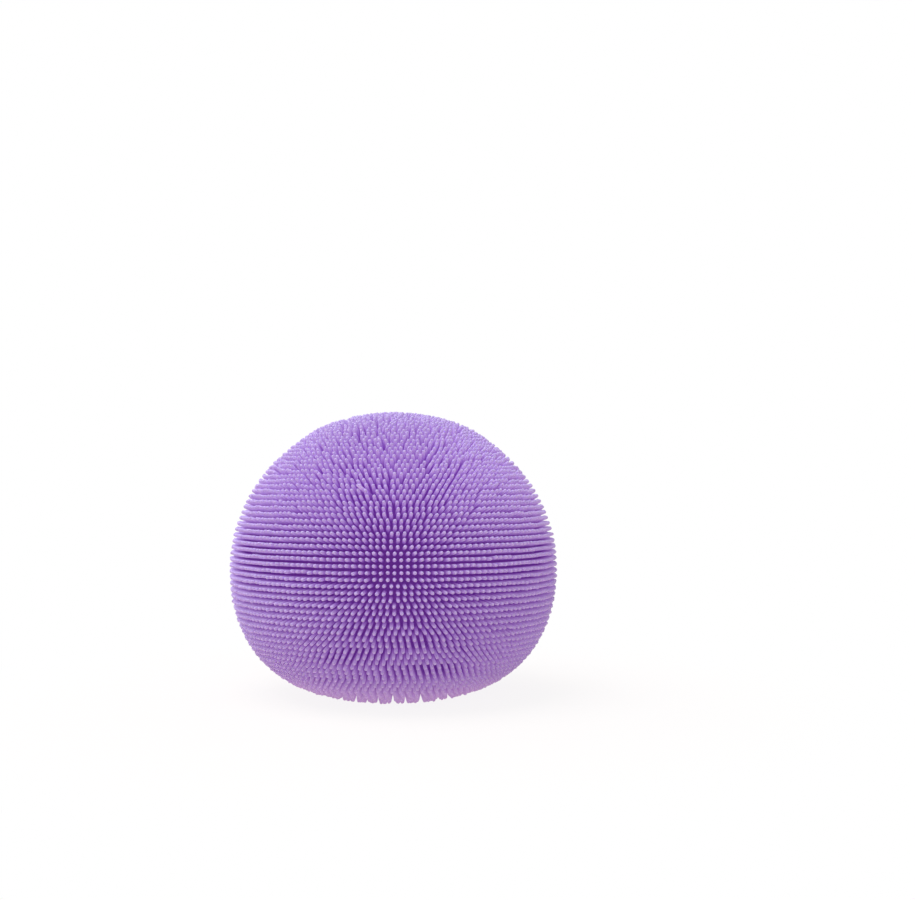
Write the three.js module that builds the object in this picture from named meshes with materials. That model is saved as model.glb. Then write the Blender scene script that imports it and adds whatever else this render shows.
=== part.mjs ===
// A soft bristled ball, filled with gel, in millimetres. +Z is up, and the ball stands on the plane z = 0.
import * as THREE from "three";
import { mergeVertices } from "three/addons/utils/BufferGeometryUtils.js";

// Outer shape, measured over the bristle tips
const BALL_WIDTH = 85;
const BALL_HEIGHT = 73.6;
const WAIST_HEIGHT = 33;

// Skin: one soft moulding, flat underneath where the filling hole is
const SKIN_WALL = 1.8;
const FOOT_FLAT_DIAMETER = 16;
// How full the sagged lower curve is: 0.55 makes it an ellipse, and more makes it squarer.
const SAG_FULLNESS = 0.63;
const ZONE_GAP = 0.3;

// Bristles: a sample of the real ones, in level rings. The lowest are cut flat to stand on.
const BRISTLE_LENGTH = 5.5;
const BRISTLE_ROOT_DIAMETER = 1.1;
const BRISTLE_TIP_DIAMETER = 0.9;
const BRISTLE_SIDES = 3;
const BRISTLE_LEAST_SPACING = 4.2;
const FOOT_CUT = 0.5;

// Rings of bristles in each zone of the skin, from the table up
const BASE_RINGS = 5;
const BELLY_RINGS = 4;
const SHOULDER_RINGS = 4;
const CROWN_RINGS = 4;

// Columns of bristles around the ball, one to a facet.
// Nearer the poles a bristle stands in every second, third or sixth column only.
const COLUMNS = 36;
const COLUMN_STEPS = [1, 2, 3, 6];

// Filling hole, its collar and the plug that closes it
const HOLE_DIAMETER = 8;
const COLLAR_WALL = 2;
const COLLAR_DEPTH = 4;
const PLUG_HEAD_OVERHANG = 1.4;
const PLUG_HEAD_THICKNESS = 1.2;
const PLUG_BARB_OVERHANG = 0.8;
const PLUG_BARB_LENGTH = 2.4;
const PLUG_NOSE_DIAMETER = 5;
const PLUG_FACETS = 24;
const CLEARANCE = 0.3;

const skinRadius = BALL_WIDTH / 2 - BRISTLE_LENGTH;
const skinTop = BALL_HEIGHT - BRISTLE_LENGTH;
const skinBottom = BRISTLE_LENGTH - FOOT_CUT;
const footRadius = FOOT_FLAT_DIAMETER / 2;
const rootRadius = BRISTLE_ROOT_DIAMETER / 2;
const tipRadius = BRISTLE_TIP_DIAMETER / 2;
const holeRadius = HOLE_DIAMETER / 2;
const collarRadius = holeRadius + COLLAR_WALL;
const collarTop = skinBottom + SKIN_WALL + COLLAR_DEPTH;
const plugHeadRadius = holeRadius + PLUG_HEAD_OVERHANG;
const plugTop = collarTop + CLEARANCE + PLUG_BARB_LENGTH;
const ringCount = BASE_RINGS + BELLY_RINGS + SHOULDER_RINGS + CROWN_RINGS;

const skinMaterial = new THREE.MeshStandardMaterial({ color: 0xa88ad4, roughness: 0.6, metalness: 0 });
const gelMaterial = new THREE.MeshStandardMaterial({ color: 0xd9d2e6, roughness: 0.35, metalness: 0 });
const plugMaterial = new THREE.MeshStandardMaterial({ color: 0x8a68bd, roughness: 0.55, metalness: 0 });

// Half outline of the skin, from the middle of its underside to its top:
// a flat foot, a full curve up to the waist and a quarter of an ellipse
const outline = new THREE.Path();
outline.moveTo(0, skinBottom);
outline.lineTo(footRadius, skinBottom);
outline.bezierCurveTo(
  footRadius + SAG_FULLNESS * (skinRadius - footRadius), skinBottom,
  skinRadius, WAIST_HEIGHT - SAG_FULLNESS * (WAIST_HEIGHT - skinBottom),
  skinRadius, WAIST_HEIGHT,
);
outline.absellipse(0, WAIST_HEIGHT, skinRadius, skinTop - WAIST_HEIGHT, 0, Math.PI / 2);
const outlineLength = outline.getLength();

// Outline moved inwards by depth between two shares of its length, with a point at each border of two rings
function insetOutline(depth, from, to) {
  const borders = Array.from({ length: ringCount }, (_, ring) => ring / ringCount);
  const shares = [from, ...borders.filter((share) => share > from && share < to), to];
  return shares.map((share) => {
    const tangent = outline.getTangentAt(share);
    const inward = new THREE.Vector2(-tangent.y, tangent.x);
    return outline.getPointAt(share).addScaledVector(inward, depth);
  });
}

// Point of the half outline turned to a column's edge.
// The facets' middles, not their corners, lie on the round skin.
function turnedPoint(point, column) {
  const halfColumn = Math.PI / COLUMNS;
  const angle = (2 * column - 1) * halfColumn;
  const radius = point.x / Math.cos(halfColumn);
  return new THREE.Vector3(radius * Math.cos(angle), radius * Math.sin(angle), point.y);
}

// Four corners of the facet between two outline points in one column, counter-clockwise from outside
function facetCorners(low, high, column) {
  return [
    turnedPoint(low, column),
    turnedPoint(low, column + 1),
    turnedPoint(high, column + 1),
    turnedPoint(high, column),
  ];
}

// Plain facet as two triangles, or one where it meets the axis
function plainFacet(low, high, column) {
  const [a, b, c, d] = facetCorners(low, high, column);
  const triangles = [];
  if (low.x > 0) triangles.push(a, b, d);
  if (high.x > 0) triangles.push(b, c, d);
  return triangles;
}

// Facet with a bristle standing square on its middle, as triangles.
// A bristle that reaches below the table is cut flat there.
function bristledFacet(low, high, column) {
  const corners = facetCorners(low, high, column);
  const [a, b, c, d] = corners;
  const middle = new THREE.Vector3().add(a).add(b).add(c).add(d).divideScalar(corners.length);
  const across = new THREE.Vector3().subVectors(b, a).normalize();
  const outward = new THREE.Vector3().subVectors(d, a).cross(across).negate().normalize();
  const along = new THREE.Vector3().crossVectors(outward, across);
  const ringAt = (height, radius) => Array.from({ length: BRISTLE_SIDES }, (_, side) => {
    const angle = Math.PI / 2 + (2 * Math.PI * side) / BRISTLE_SIDES;
    return middle.clone()
      .addScaledVector(outward, height)
      .addScaledVector(across, radius * Math.cos(angle))
      .addScaledVector(along, radius * Math.sin(angle));
  });
  const roots = ringAt(0, rootRadius);
  const tips = ringAt(BRISTLE_LENGTH, tipRadius).map((tip, side) => {
    const root = roots[side];
    return tip.z < 0 ? root.clone().lerp(tip, root.z / (root.z - tip.z)) : tip;
  });
  const triangles = [];
  for (let side = 0; side < BRISTLE_SIDES; side += 1) {
    const next = (side + 1) % BRISTLE_SIDES;
    triangles.push(roots[side], roots[next], tips[next], roots[side], tips[next], tips[side]);
    if (side > 0 && next > 0) triangles.push(tips[0], tips[side], tips[next]);
  }
  const flat = (point) => {
    const arm = new THREE.Vector3().subVectors(point, middle);
    return new THREE.Vector2(arm.dot(across), arm.dot(along));
  };
  const faces = THREE.ShapeUtils.triangulateShape(corners.map(flat), [roots.map(flat)]);
  const points = [...corners, ...roots];
  triangles.push(...faces.flat().map((index) => points[index]));
  return triangles;
}

// Step between the columns that hold a bristle in a ring.
// There is none where the facets are too narrow, or where the plug's head lies.
function columnStepOf(low, high) {
  const radius = (low.x + high.x) / 2;
  const underside = high.x > low.x;
  if (underside && radius - rootRadius < plugHeadRadius + CLEARANCE) return undefined;
  const facetWidth = (2 * Math.PI * radius) / COLUMNS;
  return COLUMN_STEPS.find((step) => step * facetWidth >= BRISTLE_LEAST_SPACING);
}

// Zone of the skin: its outside with bristles, then the rest of its section, which goes back to the start.
function skinZone(outside, rest) {
  const triangles = [];
  const section = [...outside, ...rest];
  section.forEach((low, index) => {
    const high = section[(index + 1) % section.length];
    if (low.x === 0 && high.x === 0) return;
    const step = index < outside.length - 1 ? columnStepOf(low, high) : undefined;
    for (let column = 0; column < COLUMNS; column += 1) {
      const facet = step && column % step === 0 ? bristledFacet : plainFacet;
      triangles.push(...facet(low, high, column));
    }
  });
  return mergeVertices(new THREE.BufferGeometry().setFromPoints(triangles));
}

// Shares of the outline between which a zone lies, with half of the gap to its neighbours left free.
function zoneSpan(firstRing, rings) {
  const halfGap = ZONE_GAP / 2 / outlineLength;
  return { from: firstRing / ringCount + halfGap, to: (firstRing + rings) / ringCount - halfGap };
}

// Bowl on the table, with the filling hole and its inward collar
function skinBase() {
  const { to } = zoneSpan(0, BASE_RINGS);
  const outside = insetOutline(0, holeRadius / outlineLength, to);
  const inside = insetOutline(SKIN_WALL, collarRadius / outlineLength, to).reverse();
  const collar = [new THREE.Vector2(collarRadius, collarTop), new THREE.Vector2(holeRadius, collarTop)];
  return skinZone(outside, [...inside, ...collar]);
}

// Band around the middle of the ball
function skinBand(firstRing, rings) {
  const { from, to } = zoneSpan(firstRing, rings);
  return skinZone(insetOutline(0, from, to), insetOutline(SKIN_WALL, from, to).reverse());
}

// Cap, with one bristle on its very top
function skinCrown() {
  const { from } = zoneSpan(ringCount - CROWN_RINGS, CROWN_RINGS);
  const outside = insetOutline(0, from, 1 - rootRadius / outlineLength);
  const topBristle = [new THREE.Vector2(tipRadius, BALL_HEIGHT), new THREE.Vector2(0, BALL_HEIGHT)];
  const inside = insetOutline(SKIN_WALL, from, 1).reverse();
  inside[0].x = 0;
  return skinZone(outside, [...topBristle, ...inside]);
}

// Gel: fills the skin, with a hollow underneath for the collar and the plug
function gelFilling() {
  const hollowRadius = collarRadius + CLEARANCE;
  const hollowTop = plugTop + CLEARANCE;
  const hollow = [new THREE.Vector2(0, hollowTop), new THREE.Vector2(hollowRadius, hollowTop)];
  const surface = insetOutline(SKIN_WALL + CLEARANCE, hollowRadius / outlineLength, 1);
  surface.at(-1).x = 0;
  return new THREE.LatheGeometry([...hollow, ...surface], COLUMNS).rotateX(Math.PI / 2);
}

// Plug: a flat head under the skin, a stem through the collar and a barb that grips behind it
function fillPlug() {
  const headTop = skinBottom - CLEARANCE;
  const headBottom = headTop - PLUG_HEAD_THICKNESS;
  const stemRadius = holeRadius - CLEARANCE;
  const barbRadius = holeRadius + PLUG_BARB_OVERHANG;
  const barbBottom = collarTop + CLEARANCE;
  const points = [
    new THREE.Vector2(0, headBottom),
    new THREE.Vector2(plugHeadRadius, headBottom),
    new THREE.Vector2(plugHeadRadius, headTop),
    new THREE.Vector2(stemRadius, headTop),
    new THREE.Vector2(stemRadius, barbBottom),
    new THREE.Vector2(barbRadius, barbBottom),
    new THREE.Vector2(PLUG_NOSE_DIAMETER / 2, plugTop),
    new THREE.Vector2(0, plugTop),
  ];
  return new THREE.LatheGeometry(points, PLUG_FACETS).rotateX(Math.PI / 2);
}

function piece(name, geometry, material) {
  const mesh = new THREE.Mesh(geometry, material);
  mesh.name = name;
  return mesh;
}

const ball = new THREE.Group();
ball.add(
  piece("skin_base", skinBase(), skinMaterial),
  piece("skin_belly", skinBand(BASE_RINGS, BELLY_RINGS), skinMaterial),
  piece("skin_shoulder", skinBand(BASE_RINGS + BELLY_RINGS, SHOULDER_RINGS), skinMaterial),
  piece("skin_crown", skinCrown(), skinMaterial),
  piece("gel_filling", gelFilling(), gelMaterial),
  piece("fill_plug", fillPlug(), plugMaterial),
);

export default ball;
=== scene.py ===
"""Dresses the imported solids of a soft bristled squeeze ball. All lengths are in metres."""

import math

import bpy
import numpy as np
from bpy.props import FloatProperty, FloatVectorProperty, IntProperty, PointerProperty
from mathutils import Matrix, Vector


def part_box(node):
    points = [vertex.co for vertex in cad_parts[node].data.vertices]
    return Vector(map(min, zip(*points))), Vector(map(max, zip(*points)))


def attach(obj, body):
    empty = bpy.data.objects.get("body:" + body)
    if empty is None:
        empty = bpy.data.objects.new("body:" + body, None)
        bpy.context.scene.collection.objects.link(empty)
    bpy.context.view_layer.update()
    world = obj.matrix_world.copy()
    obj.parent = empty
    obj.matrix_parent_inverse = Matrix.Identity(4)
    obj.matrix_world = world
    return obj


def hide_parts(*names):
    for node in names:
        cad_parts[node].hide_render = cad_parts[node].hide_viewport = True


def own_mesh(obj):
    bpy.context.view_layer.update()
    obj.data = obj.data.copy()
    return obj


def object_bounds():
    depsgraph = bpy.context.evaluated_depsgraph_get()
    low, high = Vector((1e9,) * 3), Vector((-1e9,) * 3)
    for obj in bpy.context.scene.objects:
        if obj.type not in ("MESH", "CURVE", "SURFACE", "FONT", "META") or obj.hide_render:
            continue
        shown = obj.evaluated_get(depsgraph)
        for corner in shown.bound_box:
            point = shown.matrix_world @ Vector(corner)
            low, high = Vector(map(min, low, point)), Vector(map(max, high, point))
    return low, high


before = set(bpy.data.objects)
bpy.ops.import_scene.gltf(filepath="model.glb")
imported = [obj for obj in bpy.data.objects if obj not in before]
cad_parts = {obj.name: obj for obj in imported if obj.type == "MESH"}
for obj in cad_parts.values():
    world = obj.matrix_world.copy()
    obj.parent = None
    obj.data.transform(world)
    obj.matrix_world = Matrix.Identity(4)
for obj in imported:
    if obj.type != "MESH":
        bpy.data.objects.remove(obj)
CAD_BOX = [list(corner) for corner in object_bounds()]

bl_info = {
    "name": "Bristled squeeze ball",
    "version": (1, 0, 0),
    "blender": (4, 5, 0),
    "location": "3D View > Sidebar > Squeeze Ball",
    "description": "Skin, bristles, gel, plug and studio of a soft bristled squeeze ball",
    "category": "Add Mesh",
}

BALL_HEIGHT = CAD_BOX[1][2]
# Height on the skin at which each zone ends, from the table upwards.
ZONE_TOPS = {"base": 0.0133, "belly": 0.0377, "shoulder": 0.0597, "crown": 1.0}
PLUG_LOW, PLUG_HIGH = (corner.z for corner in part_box("fill_plug"))
# Heights between which the painted glow (painted light) in the rubber changes, near the top and
# above the table.
PAINTED_TOP_GLOW_HEIGHTS = (0.036, 0.062)
PAINTED_FOOT_GLOW_HEIGHTS = (0.009, 0.002)
# A point of a turned section that is nearer than this to the axis lies on it.
ON_AXIS = 1e-9
WHITE = (1.0, 1.0, 1.0, 1.0)


def metres(name, description, default):
    """A size that a user may change."""
    return FloatProperty(name=name, description=description, default=default, min=0.0,
                         precision=5, subtype="DISTANCE", unit="LENGTH")


def screen_colour(name, description, red, green, blue):
    """A finish colour, written as it looks on a screen, from 0 to 255."""
    seen = (red / 255, green / 255, blue / 255)
    return FloatVectorProperty(name=name, description=description, default=seen,
                               subtype="COLOR_GAMMA", size=3, min=0.0, max=1.0)


def number(name, description, default, low=0.0, high=1.0):
    """A plain number between two limits."""
    return FloatProperty(name=name, description=description, default=default,
                         min=low, max=high)


def lamp_colour(name, description, default):
    """The colour of a lamp's light."""
    return FloatVectorProperty(name=name, description=description, default=default,
                               subtype="COLOR", size=3, min=0.0, max=1.0)


def light(seen):
    """A screen colour as the light values that a shader takes."""
    values = [c / 12.92 if c <= 0.04045 else ((c + 0.055) / 1.055) ** 2.4 for c in seen]
    return (*values, 1.0)


class SkinSizes(bpy.types.PropertyGroup):
    """Sizes of the turned skin under the bristles."""

    belly_radius: metres("Belly radius", "Widest radius of the bare skin", 0.037)
    waist_height: metres("Waist height", "Height of the widest ring", 0.033)
    rise: metres("Rise", "From the widest ring up to the top of the skin", 0.0351)
    drop: metres("Drop", "From the widest ring down to the flat foot", 0.028)
    foot_radius: metres("Foot radius", "Radius of the flat foot", 0.008)
    fullness: number("Sag fullness", "How square the sagged lower curve is", 0.63)
    wall: metres("Wall", "Thickness of the rubber wall", 0.0018)
    hole_radius: metres("Hole radius", "Radius of the filling hole", 0.004)
    collar_wall: metres("Collar wall", "Wall of the collar around the hole", 0.002)
    collar_depth: metres("Collar depth", "Depth of the collar inside the wall", 0.004)
    zone_gap: metres("Zone gap", "Hairline between two zones of the wall", 0.00004)
    facets: IntProperty(name="Facets", description="Steps around the turned wall",
                        default=180, min=24)


class BristleSizes(bpy.types.PropertyGroup):
    """Sizes of the bristles and how they stand."""

    length: metres("Length", "From the skin to the tip", 0.0055)
    root_diameter: metres("Root diameter", "Thickness at the skin", 0.00102)
    tip_diameter: metres("Tip diameter", "Thickness below the rounded tip", 0.00085)
    middle_row: metres("Middle row", "From the waist up to the mould's middle ring", 0.00235)
    row_pitch: metres("Row pitch", "Between two rings below the middle one", 0.001364)
    rows_above: IntProperty(name="Rows above", default=41, min=4,
                            description="Rings from the middle one up to the top bristle")
    rows_below: IntProperty(name="Rows below", default=36, min=4,
                            description="Rings from the middle one down to the foot")
    columns: number("Columns", "Half the bristles in the middle ring", 82.9, 8, 400)
    lying_place: FloatVectorProperty(
        name="Lying place", description="Tip of one bristle that lies across the others",
        default=(-0.00618, -0.03587, 0.05361), subtype="TRANSLATION", unit="LENGTH")
    lying_bend: FloatVectorProperty(
        name="Lying bend", description="How far the tip of that bristle is bent over",
        default=(-0.0033, 0.001, 0.0009), subtype="TRANSLATION", unit="LENGTH")
    seed: IntProperty(name="Seed", default=7, description="Which unevenness is drawn")


class FinishColours(bpy.types.PropertyGroup):
    """Colours of the rubber and the gel."""

    tip: screen_colour("Tip", "Pale outer end of a bristle", 184, 172, 217)
    # Painted shade: the very middle of a tip is set darker than the tip.
    painted_dimple_shade: screen_colour("Dimple", "The very middle of a tip", 176, 163, 208)
    # Shaft, root and wall are painted shade: the same rubber, darker where the bristles shade
    # each other.
    shaft: screen_colour("Shaft", "Bristle shafts", 150, 114, 198)
    root: screen_colour("Root", "Bristle roots", 98, 50, 145)
    wall: screen_colour("Wall", "Skin between the bristles", 93, 45, 130)
    # The glows are painted light: emission that stands for light passing through the rubber,
    # stronger near the top and just above the table.
    painted_glow: screen_colour("Glow", "Light that the shafts pass on", 91, 57, 97)
    painted_deep_glow: screen_colour("Deep glow", "Light that the wall and the roots pass on",
                             79, 34, 106)
    painted_top_glow: screen_colour("Top glow", "Light that the shafts pass on near the top",
                            104, 69, 112)
    painted_deep_top_glow: screen_colour("Deep top glow", "The same for the wall and the roots",
                                 94, 43, 132)
    painted_foot_glow: screen_colour("Foot glow", "Light from the table that the lowest shafts pass on",
                             122, 93, 118)
    plug: screen_colour("Plug", "Filling plug", 132, 92, 190)
    gel: screen_colour("Gel", "Gel filling", 214, 206, 228)
    roughness: number("Roughness", "Of the satin rubber", 0.68)


class StageSettings(bpy.types.PropertyGroup):
    """Camera and studio."""

    distance: metres("Distance", "From the camera to the ball's axis", 0.317)
    height: metres("Height", "Of the camera above the table", 0.05267)
    lens: FloatProperty(name="Lens", description="Focal length in millimetres",
                        default=47.37, min=1.0)
    yaw: FloatProperty(name="Yaw", description="How far the camera looks to the right",
                       default=math.radians(2.99), subtype="ANGLE", unit="ROTATION")
    pitch: FloatProperty(name="Pitch", description="How far the camera looks up",
                         default=math.radians(2.0), subtype="ANGLE", unit="ROTATION")
    room_light: number("Room light", "Strength of the light from all round", 0.44, 0, 4)
    key_light: number("Key light", "Watts of the lamp overhead", 3.3, 0, 200)
    front_light: number("Front light", "Watts of the lamp beside the camera", 0.4, 0, 200)
    left_light: number("Left light", "Watts of the lamp behind on the left", 1.9, 0, 200)
    right_light: number("Right light", "Watts of the lamp behind on the right", 0.5, 0, 200)
    key_colour: lamp_colour("Key colour", "Of the lamp overhead", (0.9, 0.945, 1.0))
    side_colour: lamp_colour("Side colour", "Of the lamps behind", (1.0, 0.96, 0.9))
    table_light: number("Table light", "How much the pale table lights the ball by itself", 0.25)
    shadow: number("Shadow", "How much of the floor's shading the camera sees", 0.17)
    floor: screen_colour("Floor", "Pale table", 252, 230, 224)


class BallSettings(bpy.types.PropertyGroup):
    """All settings of the ball."""

    skin: PointerProperty(type=SkinSizes)
    bristles: PointerProperty(type=BristleSizes)
    colours: PointerProperty(type=FinishColours)
    stage: PointerProperty(type=StageSettings)


class Wire:
    """A socket's output that takes part in Python expressions."""

    def __init__(self, finish, output):
        self.finish = finish
        self.output = output

    def maths(self, operation, first, second):
        return self.finish.node("ShaderNodeMath", {"operation": operation},
                                {0: first, 1: second})

    def __add__(self, other):
        return self.maths("ADD", self, other)

    def __radd__(self, other):
        return self.maths("ADD", other, self)

    def __sub__(self, other):
        return self.maths("SUBTRACT", self, other)

    def __rsub__(self, other):
        return self.maths("SUBTRACT", other, self)

    def __mul__(self, other):
        return self.maths("MULTIPLY", self, other)

    def __rmul__(self, other):
        return self.maths("MULTIPLY", other, self)

    def larger(self, other):
        return self.maths("MAXIMUM", self, other)


class Finish:
    """A node tree that is written with expressions."""

    def __init__(self, tree):
        self.tree = tree
        tree.nodes.clear()

    def node(self, kind, settings=None, inputs=None, output=0):
        """Adds a node: its settings first, then its sockets' values or links."""
        made = self.tree.nodes.new(kind)
        for name, value in (settings or {}).items():
            if name == "stops":
                self.set_stops(made.color_ramp.elements, value)
            else:
                setattr(made, name, value)
        for name, value in (inputs or {}).items():
            if isinstance(value, Wire):
                self.tree.links.new(value.output, made.inputs[name])
            else:
                made.inputs[name].default_value = value
        return Wire(self, made.outputs[output]) if len(made.outputs) else made

    @staticmethod
    def set_stops(elements, stops):
        while len(elements) < len(stops):
            elements.new(1.0)
        for element, (place, shade) in zip(elements, stops):
            element.position = place
            element.color = shade

    def mix(self, factor, first, second):
        """Goes from the first colour to the second as the factor goes from 0 to 1."""
        return self.node("ShaderNodeMix", {"data_type": "RGBA"},
                         {0: factor, 6: first, 7: second}, 2)

    def ramp(self, value, stops):
        return self.node("ShaderNodeValToRGB", {"stops": stops}, {0: value})

    def attribute(self, name):
        """A number that the mesh carries at each point."""
        return self.node("ShaderNodeAttribute", {"attribute_name": name}, output="Fac")

    def place(self):
        return self.node("ShaderNodeTexCoord", output="Object")

    def noise(self, where, scale, detail=2.0):
        return self.node("ShaderNodeTexNoise", {},
                         {"Vector": where, "Scale": scale, "Detail": detail}, "Fac")

    def bump(self, height, distance, strength):
        return self.node("ShaderNodeBump", {},
                         {"Height": height, "Distance": distance, "Strength": strength})

    def surface(self, shader):
        self.node("ShaderNodeOutputMaterial", {}, {"Surface": shader})


def new_finish(name):
    """A new material and the sheet that its nodes are written on."""
    material = bpy.data.materials.new(name)
    material.use_nodes = True
    return material, Finish(material.node_tree)


def between(f, start, end):
    """Goes smoothly from 0 at one height on the ball to 1 at another."""
    height = f.node("ShaderNodeSeparateXYZ", {}, {0: f.place()}, "Z")
    return f.node("ShaderNodeMapRange", {"interpolation_type": "SMOOTHSTEP"},
                  {0: height, 1: start, 2: end})


def near_top(f):
    """0 from the waist down, 1 near the top of the ball."""
    return between(f, *PAINTED_TOP_GLOW_HEIGHTS)


def bristle_rubber(colours):
    """Soft satin rubber, with painted shade: deep at the root, pale at the tip, a little uneven.

    Its glow is painted light: emission that stands for light passing through the translucent
    rubber, weaker at the very tip, stronger near the top of the ball and palest just above the
    table.
    """
    material, f = new_finish("bristle_rubber")
    along = f.attribute("along")
    tint = f.attribute("tint")
    grain = f.noise(f.place(), 900.0, 3.0)
    tip, shaft = light(colours.tip), light(colours.shaft)
    # Painted shade: the ramp darkens the rubber from the tip down to the root, and a little at
    # the tip's middle; the random mix towards the tip below is real uneven tone.
    painted_shade_ramp = f.ramp(along + 0.03 * tint, [(0.28, light(colours.root)), (0.54, shaft),
                                                 (0.84, tip), (0.93, tip),
                                                 (1.0, light(colours.painted_dimple_shade))])
    painted_shade_and_dust = f.mix(0.04 + 0.04 * tint + 0.08 * (grain - 0.5), painted_shade_ramp, tip)
    # Painted light: these glows are emission that stands for light passing through the rubber.
    painted_low_glow, painted_high_glow = (
        f.ramp(along, [(0.27, light(deep)), (0.58, light(outer)), (0.88, light(outer)),
                       (1.0, light(0.75 * outer))])
        for deep, outer in ((colours.painted_deep_glow, colours.painted_glow),
                            (colours.painted_deep_top_glow, colours.painted_top_glow)))
    painted_risen_glow = f.mix(near_top(f), painted_low_glow, painted_high_glow)
    painted_glow = f.mix(between(f, *PAINTED_FOOT_GLOW_HEIGHTS), painted_risen_glow, light(colours.painted_foot_glow))
    f.surface(f.node("ShaderNodeBsdfPrincipled", {}, {
        "Base Color": painted_shade_and_dust,
        "Roughness": colours.roughness + 0.14 * (grain - 0.5),
        "Specular IOR Level": 0.12,
        "Sheen Weight": 0.04,
        "Sheen Roughness": 0.4,
        "Sheen Tint": tip,
        "Subsurface Weight": 0.5,
        "Subsurface Radius": (1.0, 0.8, 1.0),
        "Subsurface Scale": 0.0005,
        "Emission Color": painted_glow,
        "Emission Strength": 1.0,
        "Normal": f.bump(grain, 0.00003, 0.2),
    }))
    return material


def wall_rubber(colours):
    """The skin between the bristles: the same rubber, painted deeper as shade, with a matt mould
    grain and a painted glow.
    """
    material, f = new_finish("wall_rubber")
    where = f.place()
    cloud = f.noise(where, 160.0, 3.0)
    grain = f.noise(where, 2600.0, 2.0)
    # Painted shade: the wall and root colours are set darker, as the shade between the bristles;
    # the cloud is real uneven tone.
    shade = f.mix(0.3 * cloud, light(colours.wall), light(colours.root))
    f.surface(f.node("ShaderNodeBsdfPrincipled", {}, {
        "Base Color": shade,
        "Roughness": 0.56 + 0.2 * (grain - 0.5),
        "Specular IOR Level": 0.12,
        # Painted light: a glow that stands for light passing through the rubber, stronger near
        # the top.
        "Emission Color": f.mix(near_top(f), light(colours.painted_deep_glow),
                                light(colours.painted_deep_top_glow)),
        "Emission Strength": 1.0,
        "Normal": f.bump(grain, 0.00006, 0.5),
    }))
    return material


def plug_rubber(colours):
    """The plug: smoother rubber with faint turned rings and a rubbed face."""
    material, f = new_finish("plug_rubber")
    where = f.place()
    rings = f.node("ShaderNodeTexWave",
                   {"wave_type": "RINGS", "rings_direction": "Z"},
                   {"Vector": where, "Scale": 380.0, "Distortion": 0.6}, "Fac")
    rub = f.noise(where, 420.0, 4.0)
    shade = f.mix(0.45 * rub, light(colours.plug), light(colours.tip))
    f.surface(f.node("ShaderNodeBsdfPrincipled", {}, {
        "Base Color": shade,
        "Roughness": 0.4 + 0.25 * (rub - 0.4),
        "Specular IOR Level": 0.42,
        "Normal": f.bump(0.35 * rings + rub, 0.00005, 0.4),
    }))
    return material


def clear_gel(colours):
    """The gel: milky, wet and full of small bubbles."""
    material, f = new_finish("clear_gel")
    where = f.place()
    bubbles = f.node("ShaderNodeTexVoronoi", {"feature": "SMOOTH_F1"},
                     {"Vector": where, "Scale": 240.0, "Smoothness": 0.4}, "Distance")
    cloud = f.noise(where, 60.0, 3.0)
    shade = f.mix(0.5 * cloud, light(colours.gel), light(colours.tip))
    f.surface(f.node("ShaderNodeBsdfPrincipled", {}, {
        "Base Color": shade,
        "Roughness": 0.12 + 0.18 * bubbles,
        "IOR": 1.42,
        "Normal": f.bump(bubbles, 0.0003, 0.4),
    }))
    return material


def skin_line(skin):
    """The skin's outline: distances from the waist, points, and outward normals.

    It goes from the hole along the flat foot and the full lower curve to the waist, and
    on to the top. Below the waist the distances are negative.
    """
    flat_points, curve_points = 200, 4001
    bottom = skin.waist_height - skin.drop
    flat = np.linspace((skin.hole_radius, bottom), (skin.foot_radius, bottom), flat_points)
    step = np.linspace(0, 1, curve_points)[:, None]
    reach = skin.fullness * (skin.belly_radius - skin.foot_radius)
    handles = [(skin.foot_radius, bottom), (skin.foot_radius + reach, bottom),
               (skin.belly_radius, skin.waist_height - skin.fullness * skin.drop),
               (skin.belly_radius, skin.waist_height)]
    rest = 1 - step
    weights = (rest ** 3, 3 * rest ** 2 * step, 3 * rest * step ** 2, step ** 3)
    lower = sum(weight * np.array(handle) for weight, handle in zip(weights, handles))
    turn = np.linspace(0, math.pi / 2, curve_points)
    upper = np.stack([skin.belly_radius * np.cos(turn),
                      skin.waist_height + skin.rise * np.sin(turn)], axis=1)
    points = np.concatenate([flat[:-1], lower[:-1], upper])
    along = np.gradient(points, axis=0)
    normals = np.stack([along[:, 1], -along[:, 0]], axis=1)
    normals /= np.linalg.norm(normals, axis=1)[:, None]
    steps = np.linalg.norm(np.diff(points, axis=0), axis=1)
    distance = np.concatenate([[0.0], np.cumsum(steps)])
    distance -= distance[len(points) - len(upper)]
    return distance, points, normals


def on_line(line, distance):
    """Points and normals of the outline at the given distances from the waist."""
    known, points, normals = line
    point = np.stack([np.interp(distance, known, points[:, k]) for k in (0, 1)], axis=-1)
    normal = np.stack([np.interp(distance, known, normals[:, k]) for k in (0, 1)], axis=-1)
    return point, normal / np.linalg.norm(normal, axis=-1, keepdims=True)


def zone_of(height):
    """The zone that a height on the skin belongs to."""
    return next(zone for zone, top in ZONE_TOPS.items() if height <= top)


def link_mesh(name, mesh, material):
    mesh.materials.append(material)
    piece = bpy.data.objects.new(name, mesh)
    bpy.context.scene.collection.objects.link(piece)
    return piece


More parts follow.
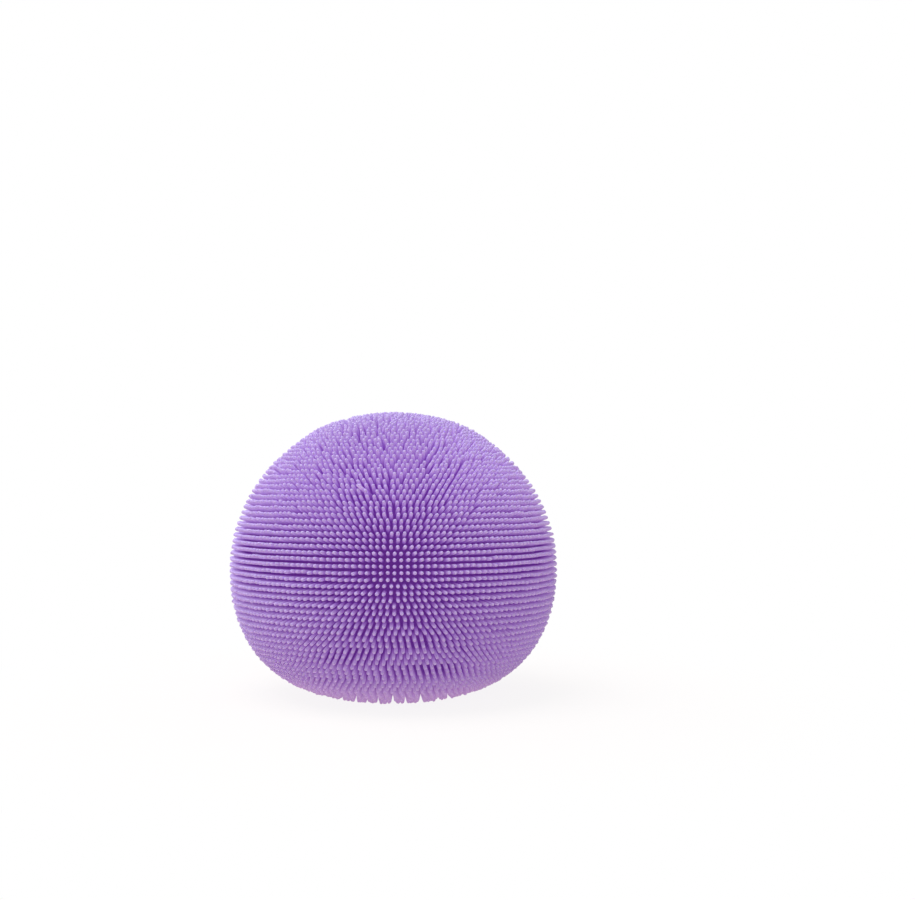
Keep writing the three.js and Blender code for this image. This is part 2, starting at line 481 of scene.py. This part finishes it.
def turned(name, section, facets, material):
    """A closed section of (radius, height) points, turned about the upright axis."""
    around = 2 * math.pi * np.arange(facets) / facets
    points, starts = [], []
    for radius, height in section:
        starts.append((len(points), radius > ON_AXIS))
        if radius > ON_AXIS:
            points += [(radius * math.cos(a), radius * math.sin(a), height) for a in around]
        else:
            points.append((0.0, 0.0, height))
    faces = []
    for (low, low_round), (high, high_round) in zip(starts, starts[1:] + starts[:1]):
        for i in range(facets):
            j = (i + 1) % facets
            if low_round and high_round:
                faces.append((low + i, low + j, high + j, high + i))
            elif low_round:
                faces.append((low + i, low + j, high))
            elif high_round:
                faces.append((low, high + j, high + i))
    mesh = bpy.data.meshes.new(name)
    mesh.from_pydata(points, [], faces)
    mesh.polygons.foreach_set("use_smooth", [True] * len(mesh.polygons))
    mesh.set_sharp_from_angle(angle=math.radians(50))
    return link_mesh(name, mesh, material)


def flatten(piece, body):
    """Attaches a piece to its body, so that it moves with it, and gives it a mesh of its own."""
    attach(piece, body)
    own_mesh(piece)


class BALL_OT_skin_wall(bpy.types.Operator):
    """Builds the rubber wall in four zones, each on a body of its own"""

    bl_idname = "squeeze_ball.skin_wall"
    bl_label = "Skin wall"
    # Between two points of the wall's section, and the fewest points that a zone has.
    STEP, FEWEST = 0.0008, 8
    # Of the collar's edge.
    ROUNDING = 0.0003

    def execute(self, context):
        ball = context.scene.squeeze_ball
        skin = ball.skin
        material = wall_rubber(ball.colours)
        line = skin_line(skin)
        known, points, _ = line
        low = known[0]
        for zone, top in ZONE_TOPS.items():
            high = min(known[-1], float(np.interp(top, points[:, 1], known)))
            last = zone == "crown"
            first = zone == "base"
            start = low if first else low + skin.zone_gap
            stop = high if last else high - skin.zone_gap
            steps = max(self.FEWEST, int((stop - start) / self.STEP))
            point, normal = on_line(line, np.linspace(start, stop, steps))
            inside = point - skin.wall * normal
            if last:
                point[-1, 0] = 0.0
                inside[-1, 0] = 0.0
            if first:
                inside = inside[inside[:, 0] > skin.hole_radius + skin.collar_wall]
            section = [tuple(p) for p in point] + [tuple(p) for p in inside[::-1]]
            if first:
                section += self.collar(skin)
            piece = turned(f"skin_wall_{zone}", section, skin.facets, material)
            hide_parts(f"skin_{zone}")
            flatten(piece, zone)
            low = high
        return {"FINISHED"}

    def collar(self, skin):
        """The collar around the filling hole, up from the inside of the wall."""
        outer = skin.hole_radius + skin.collar_wall
        foot = skin.waist_height - skin.drop + skin.wall
        top = foot + skin.collar_depth
        return [(outer, foot), (outer, top - self.ROUNDING), (outer - self.ROUNDING, top),
                (skin.hole_radius, top)]


class BALL_OT_bristles(bpy.types.Operator):
    """Sets thousands of soft bristles on the skin in level rings"""

    bl_idname = "squeeze_ball.bristles"
    bl_label = "Bristles"

    SIDES = 8
    # Stations up the shaft as shares of its length, then angles on the rounded tip.
    SHAFT = (-0.08, 0.3, 0.62)
    TIP_ANGLES = (0.0, 34.0, 64.0)
    MOST_BRISTLES = 2000
    # Rings are numbered upwards from the mould's middle one. From the foot ring down they
    # stand in line, with half and then a quarter of the columns at the end.
    FOOT_RING, HALF_FOOT_RING, QUARTER_FOOT_RING = -28, -33, -36
    FOOT_COLUMNS = 64
    # Below the low ring they step sideways. Above the high ring each is twisted by chance, by
    # a share of its pitch, and their number comes to follow the girth of the skin.
    LOW_RING, HIGH_RING = -8, 8
    TWIST = 0.07
    GIRTH_FROM, GIRTH_OVER = 6, 10
    # Rings that stand in the gaps of the last one, at the front and the back.
    STAGGERED_RINGS = range(10, 33)
    # How fast the rings narrow: as the cosine of this angle times the ring's number.
    LOW_NARROWING, MIDDLE_NARROWING = math.radians(2.42), math.radians(1.9)
    # How far the low rings are turned, in their own pitches: the first three, and then steps
    # in runs of three, one of which starts at the row that is given.
    FIRST_TURNS = (-0.42, 0.21, -0.14)
    STEP_LEFT, STEP_RIGHT = -0.34, 0.19
    RUN, LEFT_RUN_ROW = 3, 14
    # A bristle's level is how far it points up, from -1 straight down to 1 straight up. Here
    # are the levels at which the bends of the top and the foot set in, and their ranges.
    TOP_LEVEL, TOP_RANGE = 0.3, 0.55
    FOOT_LEVEL, FOOT_RANGE = -0.88, 0.09
    # Tufts and strips of bristles that stand together, and how far their tips move there,
    # as shares of the way: everywhere, at the top as well, and at the foot.
    TUFT_SIZE = 11
    STRIPS, STRIP_WIDTHS = 34, (0.0018, 0.0044)
    TUFT_PULL, TOP_TUFT_PULL, STRIP_PULL = 0.025, 0.1, 0.42
    # Chance bends of the tips: everywhere, at the top as well, and of the few knocked ones.
    STRAY, TOP_STRAY, KNOCK = 0.00005, 0.00017, 0.0007
    KNOCKED_SHARE, KNOCKED_FROM = 0.003, 0.3
    # Shares by which the length varies: by chance, worn off at the foot, more round the top.
    UNEVEN, WORN, TOP_GROWTH, LYING_GROWTH = 0.012, 0.06, 0.08, 0.12
    LONGEST_LEVEL, LONG_RANGE = 0.9, 0.07

    def execute(self, context):
        ball = context.scene.squeeze_ball
        sizes = ball.bristles
        material = bristle_rubber(ball.colours)
        stand = self.stand(ball.skin, sizes)
        for zone in ZONE_TOPS:
            chosen = np.flatnonzero(stand["zone"] == zone)
            parts = -(-len(chosen) // self.MOST_BRISTLES)
            for part, rows in enumerate(np.array_split(chosen, parts)):
                name = f"bristles_{zone}" + (f"_{part + 1}" if parts > 1 else "")
                picked = {key: values[rows] for key, values in stand.items()}
                piece = link_mesh(name, self.mesh(name, picked, sizes), material)
                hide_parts(f"skin_{zone}")
                flatten(piece, zone)
        return {"FINISHED"}

    def stand(self, skin, sizes):
        """Where each bristle is rooted, which way it stands and how it leans."""
        line = skin_line(skin)
        rise = (line[0][-1] - sizes.middle_row) / sizes.rows_above
        rings = range(-sizes.rows_below, sizes.rows_above + 1)
        draw = np.random.default_rng(sizes.seed + 1)
        root, normal, around, level, zone = [], [], [], [], []
        for ring in rings:
            pitch = rise if ring > 0 else sizes.row_pitch
            (radius, height), (out, lift) = on_line(line, sizes.middle_row + ring * pitch)
            turn = self.turns(ring, radius / skin.belly_radius, sizes)
            count = len(turn)
            if ring > self.HIGH_RING:
                turn += draw.normal(0, self.TWIST) * 2 * math.pi / count
            flat = np.stack([np.cos(turn), np.sin(turn), np.zeros(count)], axis=1)
            root.append(radius * flat + [0, 0, height])
            normal.append(out * flat + [0, 0, lift])
            around.append(np.stack([-np.sin(turn), np.cos(turn), np.zeros(count)], axis=1))
            level += [lift] * count
            zone += [zone_of(height)] * count
        found = {"root": np.concatenate(root), "normal": np.concatenate(normal),
                 "around": np.concatenate(around), "zone": np.array(zone)}
        self.lean(found, np.array(level), sizes)
        return found

    def turns(self, ring, girth, sizes):
        """Angles at which a ring's bristles stand.

        The rings at the foot stand in line, so that light gets through. Near the middle the
        bristles are as moulded. Above, odd and even halves put a ring at the front and the
        back in the gaps of the last one. Below, the rings step sideways at the front.
        """
        if ring <= self.FOOT_RING:
            count = self.FOOT_COLUMNS
            if ring <= self.HALF_FOOT_RING:
                count //= 4 if ring <= self.QUARTER_FOOT_RING else 2
            return 2 * math.pi * np.arange(count) / count + math.pi / self.FOOT_COLUMNS
        if ring < self.LOW_RING:
            count = round(2 * sizes.columns * math.cos(self.LOW_NARROWING * ring))
            front = -math.pi / 2
            return 2 * math.pi * (np.arange(count) + self.side_step(-ring)) / count + front
        half = sizes.columns * math.cos(self.MIDDLE_NARROWING * ring)
        if ring > self.HIGH_RING:
            full = min(1.0, (ring - self.GIRTH_FROM) / self.GIRTH_OVER)
            half = (1 - full) * half + full * sizes.columns * girth
        odd = ring % 2
        if ring in self.STAGGERED_RINGS:
            half = 2 * round((half - odd) / 2) + odd
        else:
            half = round(half)
        count = max(1, 2 * half)
        return 2 * math.pi * (np.arange(count) + 0.5) / count

    def side_step(self, row):
        """How far a low ring is turned, in its own pitches: three steps one way, three back."""
        first = 1 - self.LOW_RING
        stepped = first + len(self.FIRST_TURNS)
        if row < stepped:
            return self.FIRST_TURNS[row - first]
        steps = (self.STEP_RIGHT if (k - self.LEFT_RUN_ROW) // self.RUN % 2 else self.STEP_LEFT
                 for k in range(stepped, row + 1))
        return sum(steps) + self.FIRST_TURNS[-1]

    def lean(self, found, level, sizes):
        """Bends the bristles: even at the waist, in tufts above, in strips at the foot."""
        draw = np.random.default_rng(sizes.seed)
        count = len(level)
        normal = found["normal"]
        tip = found["root"] + sizes.length * normal
        above = np.clip((level - self.TOP_LEVEL) / self.TOP_RANGE, 0, 1)[:, None]
        below = np.clip((self.FOOT_LEVEL - level) / self.FOOT_RANGE, 0, 1)[:, None]
        bend = (self.TUFT_PULL + self.TOP_TUFT_PULL * above) * self.to_tuft(tip, draw)
        bend += self.STRIP_PULL * below * self.to_strip(tip, draw)
        bend += (self.STRAY + self.TOP_STRAY * above) * draw.normal(size=(count, 3))
        # A few have been knocked out of line.
        chance = self.KNOCKED_SHARE * (above > self.KNOCKED_FROM)
        knocked = draw.uniform(size=(count, 1)) < chance
        bend += np.where(knocked, self.KNOCK * draw.normal(size=(count, 3)), 0.0)
        lying = np.linalg.norm(tip - np.array(sizes.lying_place), axis=1).argmin()
        bend[lying] = sizes.lying_bend
        bend -= (bend * normal).sum(axis=1)[:, None] * normal
        tall = sizes.length * (1 + self.UNEVEN * draw.normal(size=count))
        tall *= 1 - self.WORN * below[:, 0] * draw.uniform(0, 1, count) ** 2
        from_longest = (level - self.LONGEST_LEVEL) / self.LONG_RANGE
        tall *= 1 + self.TOP_GROWTH * np.exp(-from_longest ** 2)
        tall[lying] *= 1 + self.LYING_GROWTH
        # A bristle under the ball ends on the table.
        end = sizes.tip_diameter / 2
        high = found["root"][:, 2] - end
        room = high / np.maximum(1e-6, -normal[:, 2]) + end
        tall = np.where(normal[:, 2] < -0.5, np.minimum(tall, room), tall)
        bend[:, 2] = np.maximum(bend[:, 2], -high - (tall - end) * normal[:, 2])
        found["tall"] = tall
        found["bend"] = bend
        found["tint"] = draw.uniform(-1, 1, count)

    def to_tuft(self, tip, draw):
        """From each tip to the middle of its tuft, worked out in lots to save memory."""
        lots = 40
        tufts = tip[draw.choice(len(tip), len(tip) // self.TUFT_SIZE, replace=False)]
        step = np.empty_like(tip)
        for rows in np.array_split(np.arange(len(tip)), lots):
            gap = tufts[None] - tip[rows, None]
            step[rows] = gap[np.arange(len(rows)), np.linalg.norm(gap, axis=2).argmin(axis=1)]
        return step

    def to_strip(self, tip, draw):
        """Sideways from each tip to its strip: under the foot they part from front to back."""
        borders = np.cumsum(draw.uniform(*self.STRIP_WIDTHS, self.STRIPS))
        borders -= borders.mean()
        which = np.clip(np.searchsorted(borders, tip[:, 0]), 1, len(borders) - 1)
        step = np.zeros_like(tip)
        step[:, 0] = (borders[which] + borders[which - 1]) / 2 - tip[:, 0]
        return step

    def mesh(self, name, picked, sizes):
        """All the bristles of one piece as closed, rounded, tapered rods."""
        count = len(picked["tall"])
        tall = picked["tall"][:, None]
        end = sizes.tip_diameter / 2
        start = sizes.root_diameter / 2
        angles = np.radians(self.TIP_ANGLES)
        shaft = np.array(self.SHAFT)
        rise = np.concatenate([shaft * tall, tall - end + end * np.sin(angles)], axis=1)
        width = np.concatenate([start + (end - start) * np.maximum(shaft, 0),
                                end * np.cos(angles)])
        step = rise / tall
        normal, bend = picked["normal"][:, None], picked["bend"][:, None]
        centre = picked["root"][:, None] + rise[..., None] * normal
        centre += (step ** 2)[..., None] * bend
        along = normal * tall[..., None] + 2 * step[..., None] * bend
        along /= np.linalg.norm(along, axis=2)[..., None]
        around = picked["around"][:, None]
        side = around - (around * along).sum(2)[..., None] * along
        side /= np.linalg.norm(side, axis=2)[..., None]
        other = np.cross(along, side)
        turn = 2 * math.pi * np.arange(self.SIDES) / self.SIDES
        ring = np.cos(turn)[:, None] * side[:, :, None]
        ring += np.sin(turn)[:, None] * other[:, :, None]
        rings = centre[:, :, None] + width[:, None, None] * ring
        apex = picked["root"] + tall * picked["normal"] + picked["bend"]
        points = np.concatenate([rings.reshape(count, -1, 3), apex[:, None]], axis=1)
        heights = np.concatenate([np.repeat(np.clip(step, 0, 1), self.SIDES, axis=1),
                                  np.ones((count, 1))], axis=1)
        return self.filled(name, points, heights, picked["tint"])

    def filled(self, name, points, heights, tint):
        """Joins each bristle's points with faces, and lays out its own patch of the map."""
        count, each = points.shape[:2]
        sizes, corners, spots = self.pattern()
        loops = (corners[None] + each * np.arange(count)[:, None]).ravel()
        face_sizes = np.tile(sizes, count)
        mesh = bpy.data.meshes.new(name)
        mesh.vertices.add(count * each)
        mesh.vertices.foreach_set("co", points.astype(np.float32).ravel())
        mesh.loops.add(len(loops))
        mesh.loops.foreach_set("vertex_index", loops.astype(np.int32))
        mesh.polygons.add(len(face_sizes))
        starts = np.concatenate([[0], np.cumsum(face_sizes)[:-1]])
        mesh.polygons.foreach_set("loop_start", starts.astype(np.int32))
        mesh.polygons.foreach_set("use_smooth", np.ones(len(face_sizes), dtype=bool))
        for key, values in (("along", heights), ("tint", np.repeat(tint[:, None], each, 1))):
            held = mesh.attributes.new(key, "FLOAT", "POINT")
            held.data.foreach_set("value", values.astype(np.float32).ravel())
        columns = math.ceil(math.sqrt(count))
        cell = np.stack([np.arange(count) % columns, np.arange(count) // columns], axis=1)
        margin = 0.06
        place = (cell[:, None] + margin + (1 - 2 * margin) * spots[None]) / columns
        bake_map = mesh.uv_layers.new(name="OFBake")
        bake_map.uv.foreach_set("vector", place.astype(np.float32).ravel())
        mesh.update(calc_edges=True)
        mesh.validate()
        return mesh

    def pattern(self):
        """Face sizes, corner numbers and map places of one bristle."""
        n = self.SIDES
        rows = len(self.SHAFT) + len(self.TIP_ANGLES)
        sizes, corners, spots = [], [], []
        for row in range(rows - 1):
            low, high = (row + 1) / (rows + 1), (row + 2) / (rows + 1)
            for k in range(n):
                m = (k + 1) % n
                sizes.append(4)
                corners += [row * n + k, row * n + m, (row + 1) * n + m, (row + 1) * n + k]
                spots += [(k / n, low), ((k + 1) / n, low), ((k + 1) / n, high), (k / n, high)]
        for k in range(n):
            sizes.append(3)
            corners += [(rows - 1) * n + k, (rows - 1) * n + (k + 1) % n, rows * n]
            spots += [(k / n, rows / (rows + 1)), ((k + 1) / n, rows / (rows + 1)),
                      ((k + 0.5) / n, 1.0)]
        sizes.append(n)
        corners += list(range(n))[::-1]
        flat = 0.5 / (rows + 1)
        spots += [(flat + 0.9 * flat * math.cos(2 * math.pi * k / n),
                   flat + 0.9 * flat * math.sin(2 * math.pi * k / n)) for k in range(n)][::-1]
        return np.array(sizes), np.array(corners), np.array(spots)


class BALL_OT_gel(bpy.types.Operator):
    """Fills the skin with one soft mass of gel"""

    bl_idname = "squeeze_ball.gel"
    bl_label = "Gel filling"
    # Room between the gel and its neighbours, and around the plug's barb.
    CLEAR = 0.0001
    BARB_ROOM = 0.001
    FACETS, POINTS = 96, 100

    def execute(self, context):
        ball = context.scene.squeeze_ball
        skin = ball.skin
        line = skin_line(skin)
        point, normal = on_line(line, np.linspace(line[0][0], line[0][-1], self.POINTS))
        inset = point - (skin.wall + self.CLEAR) * normal
        inset[-1, 0] = 0.0
        collar = skin.hole_radius + skin.collar_wall + self.CLEAR
        kept = inset[:, 0] > collar
        kept[-1] = True
        inset = inset[kept]
        floor = inset[0, 1]
        collar_top = floor + skin.collar_depth
        barb = skin.hole_radius + self.BARB_ROOM
        under = PLUG_HIGH + self.CLEAR
        section = [(0.0, under), (barb, under), (barb, collar_top), (collar, collar_top),
                   (collar, floor), *(tuple(p) for p in inset)]
        piece = turned("gel_mass", section, self.FACETS, clear_gel(ball.colours))
        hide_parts("gel_filling")
        flatten(piece, "base")
        return {"FINISHED"}


class BALL_OT_plug(bpy.types.Operator):
    """Closes the filling hole with a barbed plug"""

    bl_idname = "squeeze_ball.plug"
    bl_label = "Filling plug"
    FACETS = 72
    # The head: a shallow dimple, as radii and heights above its face, and a rounded edge.
    DIMPLE = ((0.0, 0.00035), (0.0009, 0.00033), (0.0014, 0.0001), (0.0019, 0.0))
    HEAD_RADIUS = 0.0054
    HEAD_ROUNDING = 0.0008
    HEAD_ANGLES = (-68, -45, -22, 0)
    # The barb: its radius at the start and where it is widest, and the length that stays so.
    BARB_RADII = (0.0046, 0.0048)
    BARB_LAND = 0.0005
    NOSE_RADIUS = 0.0026
    EDGE = 0.0002
    # Room under the foot, and both around the shaft and between the collar and the barb.
    HAIRLINE, CLEAR = 0.00002, 0.0003

    def execute(self, context):
        ball = context.scene.squeeze_ball
        skin = ball.skin
        seat = skin.waist_height - skin.drop - self.HAIRLINE
        shaft = skin.hole_radius - self.CLEAR
        barb_start = seat + skin.wall + skin.collar_depth + self.CLEAR
        barb_edge, barb = self.BARB_RADII
        head, rounding, edge, nose = (self.HEAD_RADIUS, self.HEAD_ROUNDING, self.EDGE,
                                      self.NOSE_RADIUS)
        flat = head - rounding
        section = [(radius, PLUG_LOW + height) for radius, height in self.DIMPLE]
        section.append((flat, PLUG_LOW))
        for angle in np.radians(self.HEAD_ANGLES):
            section.append((flat + rounding * math.cos(angle),
                            PLUG_LOW + rounding + rounding * math.sin(angle)))
        section += [(head, seat - edge), (head - edge, seat), (shaft, seat), (shaft, barb_start),
                    (barb_edge, barb_start), (barb, barb_start + edge),
                    (barb, barb_start + self.BARB_LAND), (nose, PLUG_HIGH - edge),
                    (nose - 2 * edge, PLUG_HIGH), (0.0, PLUG_HIGH)]
        piece = turned("filling_plug", section, self.FACETS, plug_rubber(ball.colours))
        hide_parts("fill_plug")
        flatten(piece, "base")
        return {"FINISHED"}


class BALL_OT_stage(bpy.types.Operator):
    """Sets the camera, the pale table and the soft light"""

    bl_idname = "squeeze_ball.stage"
    bl_label = "Stage"

    def execute(self, context):
        scene = context.scene
        stage = scene.squeeze_ball.stage
        scene.view_settings.view_transform = "Standard"
        self.camera(scene, stage)
        self.floor(stage)
        self.room(scene, stage)
        self.lamp(scene, "overhead", stage.key_light, side=0.5, place=(-0.2, -0.16, 0.62),
                  colour=stage.key_colour)
        self.lamp(scene, "front", stage.front_light, side=0.4, place=(0.1, -0.6, 0.25))
        self.lamp(scene, "left", stage.left_light, side=0.4, place=(-0.48, 0.4, 0.25),
                  colour=stage.side_colour)
        self.lamp(scene, "right", stage.right_light, side=0.4, place=(0.48, 0.4, 0.25),
                  colour=stage.side_colour)
        return {"FINISHED"}

    @staticmethod
    def camera(scene, stage):
        data = bpy.data.cameras.new("camera")
        data.sensor_width = 36.0
        data.lens = stage.lens
        data.clip_start = 0.01
        camera = bpy.data.objects.new("camera", data)
        camera.location = (0.0, -stage.distance, stage.height)
        ahead = Vector((math.sin(stage.yaw) * math.cos(stage.pitch),
                        math.cos(stage.yaw) * math.cos(stage.pitch), math.sin(stage.pitch)))
        camera.rotation_euler = ahead.to_track_quat("-Z", "Y").to_euler()
        scene.collection.objects.link(camera)
        scene.camera = camera

    @staticmethod
    def background_rays(f):
        """1 for rays that show the background: straight, reflected or through glass."""
        straight, reflected, through = (
            f.node("ShaderNodeLightPath", output=name)
            for name in ("Is Camera Ray", "Is Glossy Ray", "Is Transmission Ray"))
        return straight.larger(reflected).larger(through)

    def floor(self, stage):
        """The table: white to the camera apart from a faint shadow, warm to the ball."""
        reach = 6.0
        shadow_start, shadow_end = 0.03, 0.13
        material, f = new_finish("pale_table")
        pale = light(stage.floor)
        speck = f.noise(f.place(), 40.0, 2.0)
        matt = f.node("ShaderNodeBsdfDiffuse", {}, {
            "Color": f.mix(0.2 * speck, pale, WHITE), "Roughness": 0.4})
        rays = self.background_rays(f)
        white = f.node("ShaderNodeEmission", {}, {
            "Color": f.mix(rays, pale, WHITE), "Strength": 1.0})
        away = f.node("ShaderNodeVectorMath", {"operation": "LENGTH"}, {0: f.place()}, "Value")
        near = f.node("ShaderNodeMapRange", {"interpolation_type": "SMOOTHSTEP"},
                      {0: away, 1: shadow_start, 2: shadow_end, 3: stage.shadow, 4: 0.0})
        shown = stage.table_light + (1 - stage.table_light) * rays * (1 - near)
        f.surface(f.node("ShaderNodeMixShader", {}, {0: shown, 1: matt, 2: white}))
        mesh = bpy.data.meshes.new("table")
        mesh.from_pydata([(-reach, -reach, 0), (reach, -reach, 0), (reach, reach, 0),
                          (-reach, reach, 0)], [], [(0, 1, 2, 3)])
        link_mesh("table", mesh, material)

    def room(self, scene, stage):
        world = bpy.data.worlds.new("room")
        world.use_nodes = True
        scene.world = world
        f = Finish(world.node_tree)
        strength = stage.room_light + (1 - stage.room_light) * self.background_rays(f)
        soft = f.node("ShaderNodeBackground", {}, {"Color": WHITE, "Strength": strength})
        f.node("ShaderNodeOutputWorld", {}, {"Surface": soft})

    @staticmethod
    def lamp(scene, name, watts, side, place, colour=WHITE[:3]):
        data = bpy.data.lights.new(name, "AREA")
        data.color = colour
        data.energy = watts
        data.size = side
        lamp = bpy.data.objects.new(name, data)
        lamp.location = place
        aim = Vector((0, 0, BALL_HEIGHT / 2)) - Vector(place)
        lamp.rotation_euler = aim.to_track_quat("-Z", "Y").to_euler()
        scene.collection.objects.link(lamp)


class BALL_PT_panel(bpy.types.Panel):
    """Lists the steps and settings of the ball"""

    bl_idname = "BALL_PT_panel"
    bl_label = "Squeeze ball"
    bl_space_type = "VIEW_3D"
    bl_region_type = "UI"
    bl_category = "Squeeze Ball"

    def draw(self, context):
        ball = context.scene.squeeze_ball
        for operator in OPERATORS:
            self.layout.operator(operator.bl_idname)
        for group in (ball.skin, ball.bristles, ball.colours, ball.stage):
            box = self.layout.box()
            for name in group.__annotations__:
                box.prop(group, name)


OPERATORS = (BALL_OT_skin_wall, BALL_OT_bristles, BALL_OT_gel, BALL_OT_plug, BALL_OT_stage)
GROUPS = (SkinSizes, BristleSizes, FinishColours, StageSettings, BallSettings)
CLASSES = (*GROUPS, *OPERATORS, BALL_PT_panel)


def register():
    for item in CLASSES:
        bpy.utils.register_class(item)
    bpy.types.Scene.squeeze_ball = PointerProperty(type=BallSettings)


def unregister():
    del bpy.types.Scene.squeeze_ball
    for item in reversed(CLASSES):
        bpy.utils.unregister_class(item)


def main():
    register()
    bpy.ops.squeeze_ball.skin_wall()
    bpy.ops.squeeze_ball.bristles()
    bpy.ops.squeeze_ball.gel()
    bpy.ops.squeeze_ball.plug()
    bpy.ops.squeeze_ball.stage()


if __name__ == "__main__":
    main()
